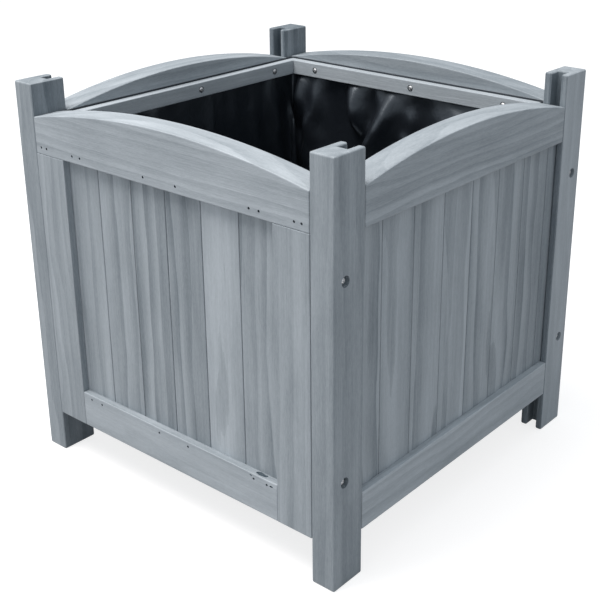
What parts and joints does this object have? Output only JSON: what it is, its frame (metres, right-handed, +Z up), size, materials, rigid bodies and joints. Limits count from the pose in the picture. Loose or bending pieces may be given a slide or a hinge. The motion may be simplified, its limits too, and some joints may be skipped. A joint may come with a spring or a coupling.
{
  "type": "planter box",
  "caption": "Square slatted timber planter box with grooved corner posts, arched top rails, raised bottom rails and a clamped black film liner.",
  "frame": {"origin": "middle of the footprint, on the ground under the feet", "axes": "+Z up, -Y out of the front wall (the one with stiles), +X out of the right wall"},
  "size_m": [0.5, 0.5, 0.5],
  "materials": {
    "post_wood": "blue-grey stain, matt",
    "rail_wood": "blue-grey stain, matt",
    "board_wood": "blue-grey stain, matt",
    "inner_wood": "blue-grey stain, matt",
    "liner_film": "glossy black film",
    "post_screw_steel": "zinc plated",
    "small_screw_steel": "zinc plated",
    "nail_steel": "dark, sunk heads"
  },
  "bodies": {
    "root": {"post_front_left": "post_wood", "post_front_right": "post_wood", "post_back_right": "post_wood", "post_back_left": "post_wood", "arch_rail_front": "rail_wood", "arch_rail_right": "rail_wood", "arch_rail_back": "rail_wood", "arch_rail_left": "rail_wood", "bottom_rail_front": "rail_wood", "bottom_rail_right": "rail_wood", "bottom_rail_back": "rail_wood", "bottom_rail_left": "rail_wood", "stile_front_left": "rail_wood", "stile_front_right": "rail_wood", "stile_back_left": "rail_wood", "stile_back_right": "rail_wood", "board_front_1": "board_wood", "board_front_2": "board_wood", "board_front_3": "board_wood", "board_front_4": "board_wood", "board_front_5": "board_wood", "board_front_6": "board_wood", "board_back_1": "board_wood", "board_back_2": "board_wood", "board_back_3": "board_wood", "board_back_4": "board_wood", "board_back_5": "board_wood", "board_back_6": "board_wood", "board_right_1": "board_wood", "board_right_2": "board_wood", "board_right_3": "board_wood", "board_right_4": "board_wood", "board_right_5": "board_wood", "board_right_6": "board_wood", "board_right_7": "board_wood", "board_right_8": "board_wood", "board_left_1": "board_wood", "board_left_2": "board_wood", "board_left_3": "board_wood", "board_left_4": "board_wood", "board_left_5": "board_wood", "board_left_6": "board_wood", "board_left_7": "board_wood", "board_left_8": "board_wood", "batten_front": "inner_wood", "batten_right": "inner_wood", "batten_back": "inner_wood", "batten_left": "inner_wood", "floor_cleat_front": "inner_wood", "floor_cleat_back": "inner_wood", "floor_slat_1": "inner_wood", "floor_slat_2": "inner_wood", "floor_slat_3": "inner_wood", "floor_slat_4": "inner_wood", "floor_slat_5": "inner_wood", "liner": "liner_film", "post_screws": "post_screw_steel", "batten_screws": "small_screw_steel", "floor_screws": "small_screw_steel", "rail_nails": "nail_steel"}
  },
  "joints": []
}
